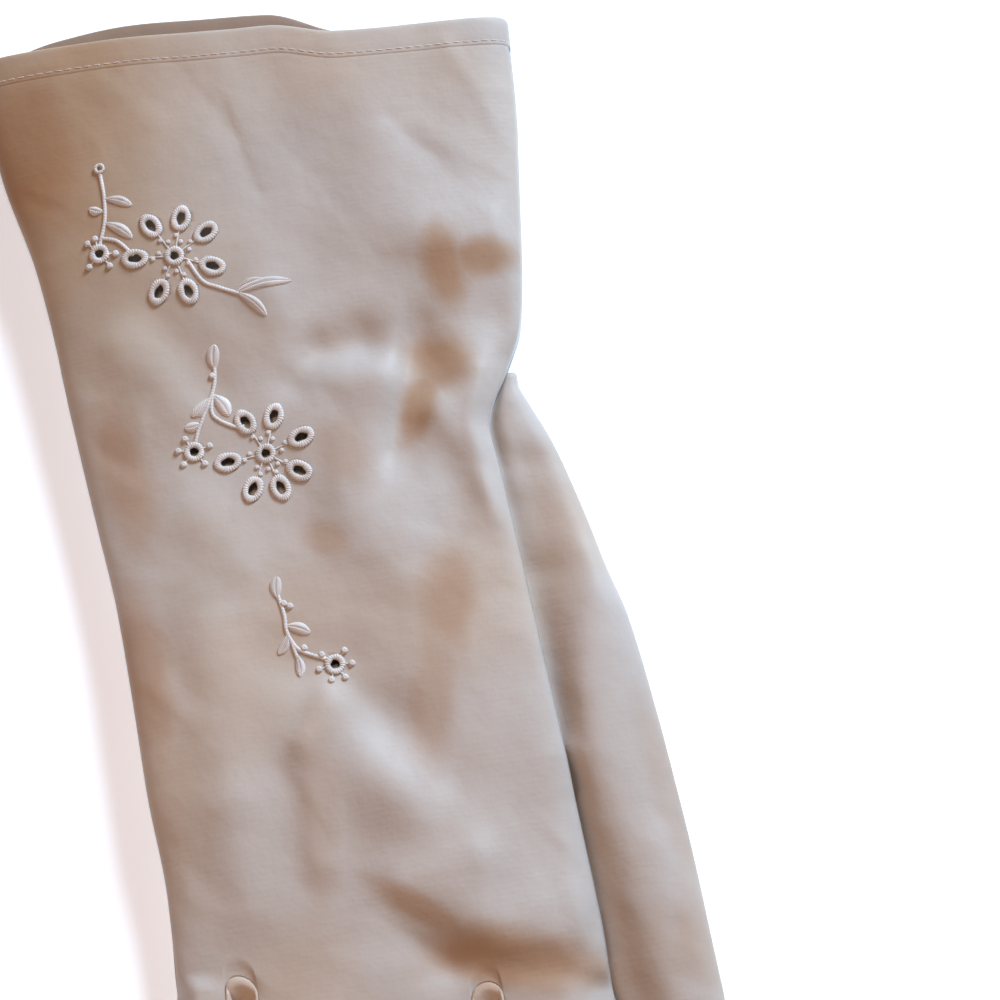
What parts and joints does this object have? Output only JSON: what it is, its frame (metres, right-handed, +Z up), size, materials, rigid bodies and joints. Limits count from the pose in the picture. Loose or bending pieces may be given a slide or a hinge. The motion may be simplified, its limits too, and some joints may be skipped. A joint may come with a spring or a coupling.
{
  "type": "embroidered dress glove",
  "caption": "Right-hand fabric dress glove with a mid-length flared cuff, set-in thumb, fourchettes and floral eyelet embroidery on the back, lying palm down.",
  "frame": {"origin": "centre of the footprint, on the surface that the glove lies on", "axes": "+Y from the fingers to the opening, +X toward the thumb, +Z up out of the back of the hand"},
  "size_m": [0.1188, 0.2842, 0.0161],
  "materials": {
    "cloth": "off-white nylon knit with a soft sheen",
    "cloth_side": "off-white nylon knit with a soft sheen",
    "thread": "off-white glossy embroidery thread"
  },
  "bodies": {
    "root": {"back_panel": "cloth", "palm_panel": "cloth", "thumb": "cloth", "cuff_hem": "cloth", "back_little": "cloth", "palm_little": "cloth", "back_ring": "cloth", "palm_ring": "cloth", "back_middle": "cloth", "palm_middle": "cloth", "back_index": "cloth", "palm_index": "cloth", "fourchette_index_middle": "cloth_side", "fourchette_middle_ring": "cloth_side", "fourchette_ring_little": "cloth_side", "spray_upper": "thread", "spray_middle": "thread", "spray_lower": "thread"}
  },
  "joints": []
}
